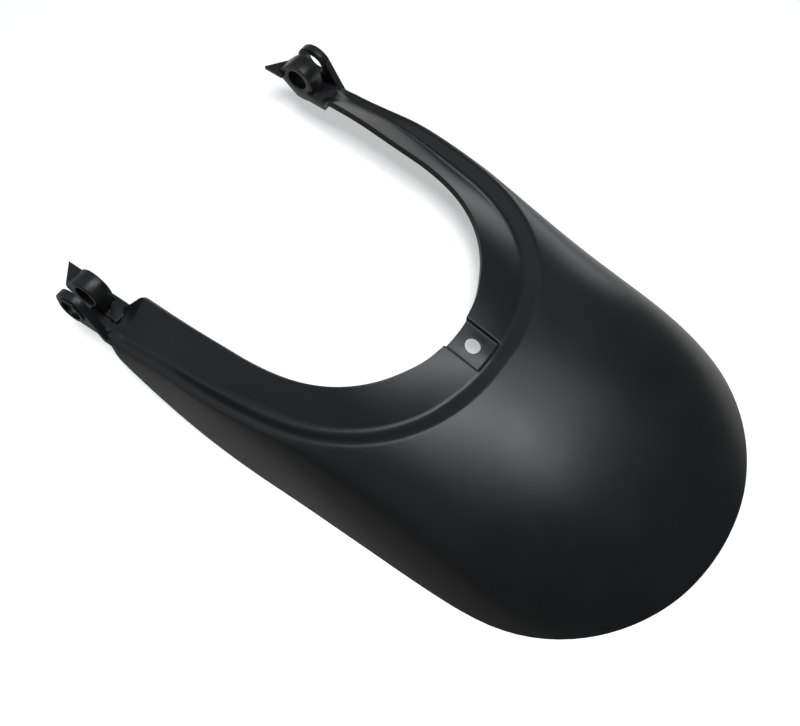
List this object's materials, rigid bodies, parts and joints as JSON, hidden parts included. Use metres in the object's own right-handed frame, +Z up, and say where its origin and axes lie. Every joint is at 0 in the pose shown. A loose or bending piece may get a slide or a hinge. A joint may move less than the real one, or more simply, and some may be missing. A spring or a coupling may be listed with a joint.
{
  "type": "motorcycle mudguard",
  "caption": "Moulded rear mudguard: a domed tail with a U-shaped cut-out, a stepped inner flange with a screw pad, and arms that end in slotted clips.",
  "frame": {"origin": "middle of the bounding box, on the surface that the rim lies on", "axes": "+Y from the tail towards the clips, +Z up, mirrored about X = 0"},
  "size_m": [0.1744, 0.2937, 0.054],
  "materials": {
    "black_plastic": "satin black, smooth from the mould"
  },
  "bodies": {
    "root": {"mudguard": "black_plastic"}
  },
  "joints": []
}
